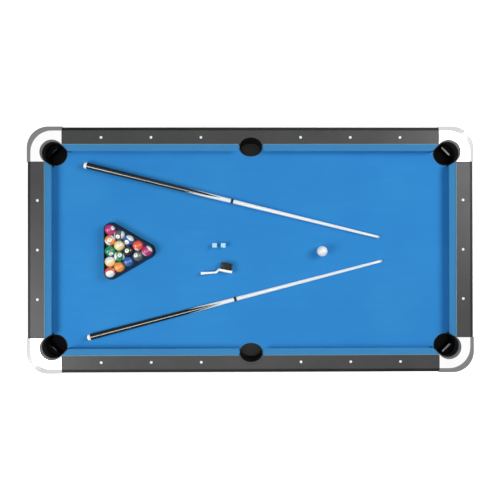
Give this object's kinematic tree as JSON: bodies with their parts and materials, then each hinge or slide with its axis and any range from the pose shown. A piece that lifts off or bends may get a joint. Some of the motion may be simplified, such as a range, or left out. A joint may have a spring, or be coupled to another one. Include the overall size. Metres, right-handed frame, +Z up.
{
  "type": "pool table",
  "caption": "Home pool table with drop pockets, silver corner castings and screw levellers, set out with cues, racked balls, chalk and a brush.",
  "frame": {"origin": "on the floor under the middle of the table", "axes": "+X along the table's length, away from the racked balls; +Y across it, towards the brush's bristles; +Z up"},
  "size_m": [2.14, 1.18, 0.7931],
  "materials": {
    "black_laminate": "satin laminate",
    "board": "plain fibreboard",
    "softwood": "planed",
    "bed_cloth": "woven nap",
    "cushion_cloth": "woven nap",
    "cushion_rubber": "moulded",
    "silver": "satin",
    "pocket_plastic": "fine grain",
    "sight": "polished",
    "steel": "zinc plated",
    "foot_plastic": "moulded",
    "rack_plastic": "moulded",
    "chalk": "powdery",
    "cue_ball": "polished",
    "cue_butt": "lacquer",
    "cue_shaft": "lacquer",
    "brush_handle": "moulded",
    "bristles": "fibre",
    "ball_01_solid": "polished",
    "ball_02_solid": "polished",
    "ball_03_solid": "polished",
    "ball_04_solid": "polished",
    "ball_05_solid": "polished",
    "ball_06_solid": "polished",
    "ball_07_solid": "polished",
    "ball_08_solid": "polished",
    "ball_09_stripe": "polished",
    "ball_10_stripe": "polished",
    "ball_11_stripe": "polished",
    "ball_12_stripe": "polished",
    "ball_13_stripe": "polished",
    "ball_14_stripe": "polished",
    "ball_15_stripe": "polished"
  },
  "bodies": {
    "table": {"bed_panel": "board", "bed_cloth": "bed_cloth", "cushion_rubbers": "cushion_rubber", "cushion_cloths": "cushion_cloth", "rail_sights": "sight", "rail_bolts": "steel", "leg_bolts": "steel", "cross_beams": "softwood", "end_ledgers": "softwood", "side_rail_back": "black_laminate", "side_rail_front": "black_laminate", "end_rail_left": "black_laminate", "end_rail_right": "black_laminate", "side_apron_back": "black_laminate", "side_apron_front": "black_laminate", "end_apron_left": "black_laminate", "end_apron_right": "black_laminate", "corner_casting_back_right": "silver", "corner_pocket_back_right": "pocket_plastic", "leg_back_right": "black_laminate", "corner_casting_back_left": "silver", "corner_pocket_back_left": "pocket_plastic", "leg_back_left": "black_laminate", "corner_casting_front_left": "silver", "corner_pocket_front_left": "pocket_plastic", "leg_front_left": "black_laminate", "corner_casting_front_right": "silver", "corner_pocket_front_right": "pocket_plastic", "leg_front_right": "black_laminate", "side_pocket_back": "pocket_plastic", "side_pocket_front": "pocket_plastic"},
    "leveller_back_right": {"leveller_back_right": "foot_plastic"},
    "leveller_back_left": {"leveller_back_left": "foot_plastic"},
    "leveller_front_left": {"leveller_front_left": "foot_plastic"},
    "leveller_front_right": {"leveller_front_right": "foot_plastic"},
    "cue_ball": {"cue_ball": "cue_ball"},
    "ball_01": {"ball_01": "ball_01_solid"},
    "ball_02": {"ball_02": "ball_02_solid"},
    "ball_03": {"ball_03": "ball_03_solid"},
    "ball_04": {"ball_04": "ball_04_solid"},
    "ball_05": {"ball_05": "ball_05_solid"},
    "ball_06": {"ball_06": "ball_06_solid"},
    "ball_07": {"ball_07": "ball_07_solid"},
    "ball_08": {"ball_08": "ball_08_solid"},
    "ball_09": {"ball_09": "ball_09_stripe"},
    "ball_10": {"ball_10": "ball_10_stripe"},
    "ball_11": {"ball_11": "ball_11_stripe"},
    "ball_12": {"ball_12": "ball_12_stripe"},
    "ball_13": {"ball_13": "ball_13_stripe"},
    "ball_14": {"ball_14": "ball_14_stripe"},
    "ball_15": {"ball_15": "ball_15_stripe"},
    "rack": {"rack": "rack_plastic"},
    "chalk_left": {"chalk_left": "chalk"},
    "chalk_right": {"chalk_right": "chalk"},
    "brush": {"brush_handle": "brush_handle", "brush_bristles": "bristles"},
    "cue_back": {"cue_back_butt": "cue_butt", "cue_back_shaft": "cue_shaft"},
    "cue_front": {"cue_front_butt": "cue_butt", "cue_front_shaft": "cue_shaft"}
  },
  "joints": [
    {"name": "leveller_screw_back_right", "type": "slide", "parent": "table", "child": "leveller_back_right", "axis": [0, 0, -1], "range_m": [0, 0.015]},
    {"name": "leveller_screw_back_left", "type": "slide", "parent": "table", "child": "leveller_back_left", "axis": [0, 0, -1], "range_m": [0, 0.015]},
    {"name": "leveller_screw_front_left", "type": "slide", "parent": "table", "child": "leveller_front_left", "axis": [0, 0, -1], "range_m": [0, 0.015]},
    {"name": "leveller_screw_front_right", "type": "slide", "parent": "table", "child": "leveller_front_right", "axis": [0, 0, -1], "range_m": [0, 0.015]},
    {"name": "lift_cue_ball", "type": "slide", "parent": "table", "child": "cue_ball", "axis": [0, 0, 1], "range_m": [0, 0.15]},
    {"name": "lift_ball_01", "type": "slide", "parent": "table", "child": "ball_01", "axis": [0, 0, 1], "range_m": [0, 0.15]},
    {"name": "lift_ball_02", "type": "slide", "parent": "table", "child": "ball_02", "axis": [0, 0, 1], "range_m": [0, 0.15]},
    {"name": "lift_ball_03", "type": "slide", "parent": "table", "child": "ball_03", "axis": [0, 0, 1], "range_m": [0, 0.15]},
    {"name": "lift_ball_04", "type": "slide", "parent": "table", "child": "ball_04", "axis": [0, 0, 1], "range_m": [0, 0.15]},
    {"name": "lift_ball_05", "type": "slide", "parent": "table", "child": "ball_05", "axis": [0, 0, 1], "range_m": [0, 0.15]},
    {"name": "lift_ball_06", "type": "slide", "parent": "table", "child": "ball_06", "axis": [0, 0, 1], "range_m": [0, 0.15]},
    {"name": "lift_ball_07", "type": "slide", "parent": "table", "child": "ball_07", "axis": [0, 0, 1], "range_m": [0, 0.15]},
    {"name": "lift_ball_08", "type": "slide", "parent": "table", "child": "ball_08", "axis": [0, 0, 1], "range_m": [0, 0.15]},
    {"name": "lift_ball_09", "type": "slide", "parent": "table", "child": "ball_09", "axis": [0, 0, 1], "range_m": [0, 0.15]},
    {"name": "lift_ball_10", "type": "slide", "parent": "table", "child": "ball_10", "axis": [0, 0, 1], "range_m": [0, 0.15]},
    {"name": "lift_ball_11", "type": "slide", "parent": "table", "child": "ball_11", "axis": [0, 0, 1], "range_m": [0, 0.15]},
    {"name": "lift_ball_12", "type": "slide", "parent": "table", "child": "ball_12", "axis": [0, 0, 1], "range_m": [0, 0.15]},
    {"name": "lift_ball_13", "type": "slide", "parent": "table", "child": "ball_13", "axis": [0, 0, 1], "range_m": [0, 0.15]},
    {"name": "lift_ball_14", "type": "slide", "parent": "table", "child": "ball_14", "axis": [0, 0, 1], "range_m": [0, 0.15]},
    {"name": "lift_ball_15", "type": "slide", "parent": "table", "child": "ball_15", "axis": [0, 0, 1], "range_m": [0, 0.15]},
    {"name": "lift_rack", "type": "slide", "parent": "table", "child": "rack", "axis": [0, 0, 1], "range_m": [0, 0.15]},
    {"name": "lift_chalk_left", "type": "slide", "parent": "table", "child": "chalk_left", "axis": [0, 0, 1], "range_m": [0, 0.15]},
    {"name": "lift_chalk_right", "type": "slide", "parent": "table", "child": "chalk_right", "axis": [0, 0, 1], "range_m": [0, 0.15]},
    {"name": "lift_brush", "type": "slide", "parent": "table", "child": "brush", "axis": [0, 0, 1], "range_m": [0, 0.15]},
    {"name": "lift_cue_back", "type": "slide", "parent": "table", "child": "cue_back", "axis": [0, 0, 1], "range_m": [0, 0.15]},
    {"name": "lift_cue_front", "type": "slide", "parent": "table", "child": "cue_front", "axis": [0, 0, 1], "range_m": [0, 0.15]}
  ]
}
